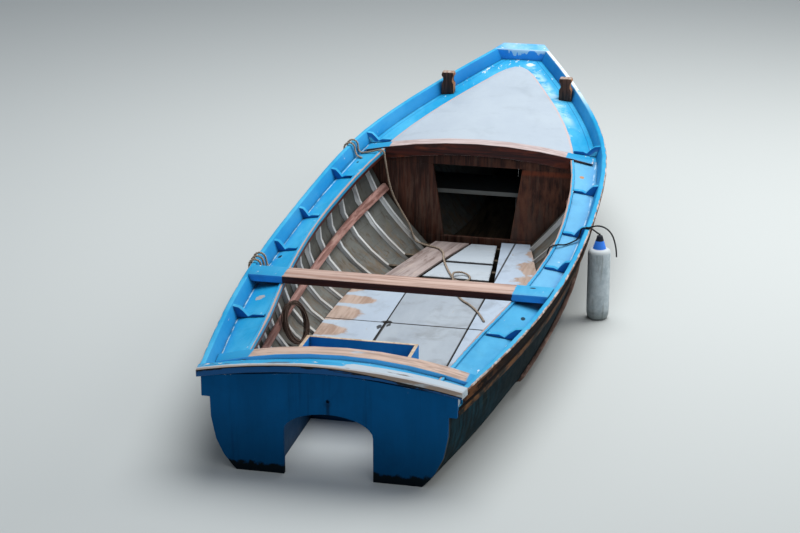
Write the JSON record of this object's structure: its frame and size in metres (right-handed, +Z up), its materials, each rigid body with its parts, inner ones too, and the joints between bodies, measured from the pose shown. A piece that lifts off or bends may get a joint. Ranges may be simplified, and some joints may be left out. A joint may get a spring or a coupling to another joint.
{
  "type": "open wooden workboat",
  "caption": "Small open wooden workboat with a flat bottom, ribbed sides, a foredeck over a cuddy, side decks with toe rails, a thwart and an outboard well at the stern.",
  "frame": {"origin": "on the underside of the flat bottom, amidships on the centreline", "axes": "+X to starboard, +Y towards the bow, +Z up"},
  "size_m": [2.2888, 6.421, 1.179],
  "materials": {
    "blue_paint": "sky blue paint over wood, worn to white and bare wood at the edges",
    "deep_blue_paint": "deep blue paint over wood",
    "pale_deck_paint": "pale grey-blue deck paint",
    "sole_paint": "pale grey paint over floor boards, worn",
    "bare_wood": "pale weathered wood with old paint",
    "red_brown_wood": "dark red-brown stained wood",
    "hull_inside_paint": "grey-white paint on ribs and planking, stained",
    "bottom_paint": "black-green bottom paint",
    "strake_wood": "pinkish brown stained wood",
    "bitt_wood": "dark weathered wood",
    "fender_skin": "dull grey vinyl",
    "black_rope": "black laid rope",
    "tan_rope": "tan laid rope",
    "brown_rope": "dark brown old rope"
  },
  "bodies": {
    "root": {"bottom": "bottom_paint", "side_port_aft": "hull_inside_paint", "side_port_middle": "hull_inside_paint", "side_port_fore": "hull_inside_paint", "side_port_bow": "hull_inside_paint", "side_starboard_aft": "hull_inside_paint", "side_starboard_middle": "hull_inside_paint", "side_starboard_fore": "hull_inside_paint", "side_starboard_bow": "hull_inside_paint", "stem": "bottom_paint", "transom": "deep_blue_paint", "well_port": "deep_blue_paint", "well_starboard": "deep_blue_paint", "well_front": "deep_blue_paint", "carlin_port": "blue_paint", "carlin_starboard": "blue_paint", "side_deck_port": "blue_paint", "side_deck_starboard": "blue_paint", "foredeck": "blue_paint", "stern_deck": "blue_paint", "rail_port": "blue_paint", "rail_starboard": "blue_paint", "wale_port": "strake_wood", "wale_starboard": "strake_wood", "strake_port": "strake_wood", "strake_starboard": "strake_wood", "stringer_port": "strake_wood", "stringer_starboard": "strake_wood", "foredeck_beam": "red_brown_wood", "stern_beam": "bare_wood", "thwart": "bare_wood", "transom_cap": "bare_wood", "breasthook": "blue_paint", "foredeck_panel": "pale_deck_paint", "bulkhead_port": "red_brown_wood", "bulkhead_starboard": "red_brown_wood", "bulkhead_header": "red_brown_wood", "bulkhead_sill": "red_brown_wood", "cuddy_shelf": "hull_inside_paint", "sole_aft_port": "sole_paint", "sole_aft_starboard": "sole_paint", "sole_mid_port": "sole_paint", "sole_mid_centre": "sole_paint", "sole_fore_starboard": "sole_paint", "hatch_board_aft": "sole_paint", "hatch_board_fore": "sole_paint", "loose_plank": "bare_wood", "bitt_port": "bitt_wood", "bitt_starboard": "bitt_wood", "fender": "fender_skin", "fender_lanyard": "black_rope", "fender_lanyard_tail": "black_rope", "bow_hitch": "tan_rope", "bow_rope": "tan_rope", "rail_hitch": "tan_rope", "rope_hank": "brown_rope"},
    "lift_out_board": {"sole_aft_centre": "sole_paint"}
  },
  "joints": [
    {"name": "board_lift", "type": "slide", "parent": "root", "child": "lift_out_board", "axis": [0, 0, 1], "range_m": [0, 0.3]}
  ]
}
